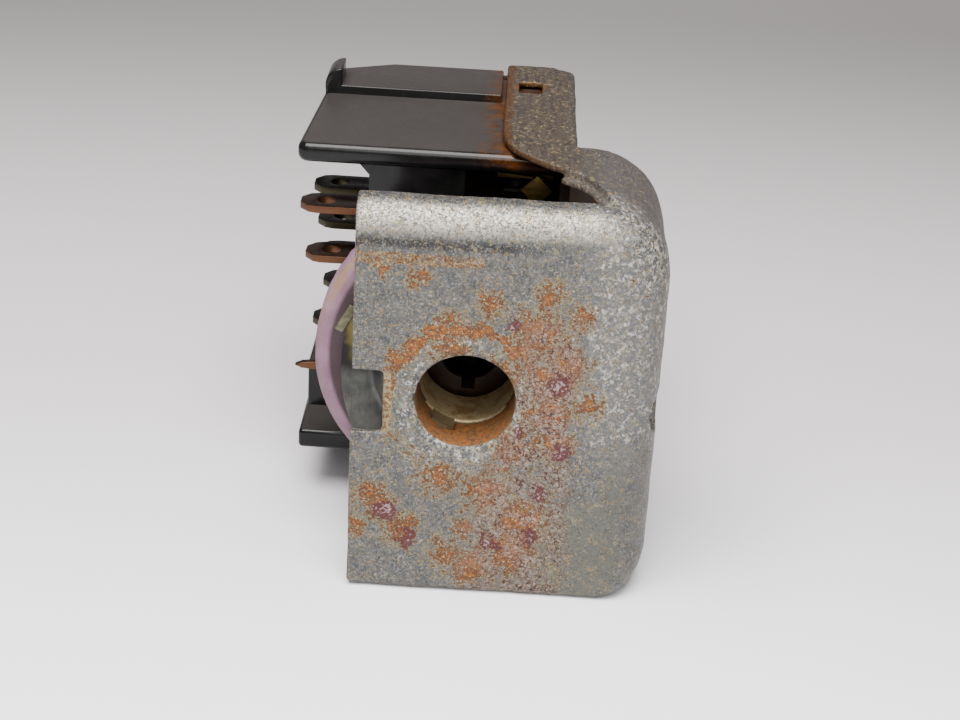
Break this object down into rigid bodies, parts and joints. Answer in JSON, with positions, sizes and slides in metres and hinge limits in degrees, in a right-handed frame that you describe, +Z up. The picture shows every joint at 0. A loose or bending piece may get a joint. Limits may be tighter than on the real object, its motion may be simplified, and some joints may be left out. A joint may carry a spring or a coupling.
{
  "type": "lighting switch",
  "caption": "Pull-out lighting switch with a rotary dimmer disc, steel frame, black terminal housing and flat blades; knob and shaft absent.",
  "frame": {"origin": "on the surface the switch stands on, under the middle of its outer box", "axes": "-Y out of the dashboard towards the knob side, along the shaft axis; +X towards the closed side panel, away from the blades; +Z up"},
  "size_m": [0.0556, 0.073, 0.063],
  "materials": {
    "galvanised_steel": "weathered galvanised sheet with rust blooms",
    "collar_steel": "rusted steel",
    "cup_steel": "dull",
    "zinc": "tarnished zinc",
    "ceramic": "matt unglazed",
    "resistance_wire": "dull",
    "black_phenolic": "moulded, semi-gloss",
    "brown_phenolic": "moulded",
    "fibre_board": "pressed fibre",
    "copper": "tarnished copper",
    "dark_copper": "dark tarnish",
    "brass": "dull",
    "spring_steel": "bright",
    "silver": "satin"
  },
  "bodies": {
    "case": {"frame": "galvanised_steel", "bezel_collar": "collar_steel", "dimmer_cup": "cup_steel", "dimmer_disc": "ceramic", "dimmer_coil": "resistance_wire", "coil_clip_left": "zinc", "coil_clip_top": "zinc", "insulating_washer": "fibre_board", "wave_washer": "spring_steel", "terminal_housing": "black_phenolic", "side_cover": "fibre_board", "rear_board": "fibre_board", "dome_light_pin": "copper", "dome_light_leaf": "brass", "leaf_rivet": "brass", "detent_plate": "spring_steel", "button_spring": "spring_steel", "breaker_bracket": "brass", "breaker_contact_fixed": "silver", "breaker_post": "brass", "board_rivet_1": "brass", "board_rivet_2": "brass", "board_rivet_3": "brass", "board_rivet_4": "brass", "blade_near_1": "copper", "blade_near_2": "copper", "blade_far_1": "dark_copper", "blade_far_2": "dark_copper", "blade_far_3": "dark_copper", "blade_far_4": "dark_copper", "blade_far_5": "dark_copper"},
    "rotor": {"rotor_hub": "brown_phenolic", "wiper_arm": "brass", "wiper_brush": "silver"},
    "carriage": {"contact_carriage": "brown_phenolic", "shaft_latch": "spring_steel", "contact_upper": "copper", "contact_middle": "copper", "contact_lower": "copper", "contact_spring_upper": "spring_steel", "contact_spring_middle": "spring_steel", "contact_spring_lower": "spring_steel", "detent_spring": "spring_steel", "detent_ball": "spring_steel"},
    "button": {"release_button": "brown_phenolic", "button_clip": "spring_steel"},
    "breaker": {"breaker_arm": "silver", "breaker_contact_moving": "silver"}
  },
  "joints": [
    {"name": "dimmer_turn", "type": "hinge", "parent": "case", "child": "rotor", "pos_m": [-0.00015, -0.0185, 0.031], "axis": [0, 1, 0], "range_deg": [-135, 135]},
    {"name": "carriage_pull", "type": "slide", "parent": "case", "child": "carriage", "axis": [0, -1, 0], "range_m": [0, 0.0125]},
    {"name": "release_press", "type": "slide", "parent": "case", "child": "button", "axis": [-1, 0, 0], "range_m": [0, 0.0026], "stiffness_N_per_m": 300, "springref_m": -0.001, "deforming": ["button_spring"]},
    {"name": "breaker_trip", "type": "hinge", "parent": "case", "child": "breaker", "pos_m": [0.00635, 0.008, 0.0519], "axis": [1, 0, 0], "range_deg": [0, 5], "stiffness_Nm_per_rad": 0.05, "springref_deg": -5.73}
  ]
}
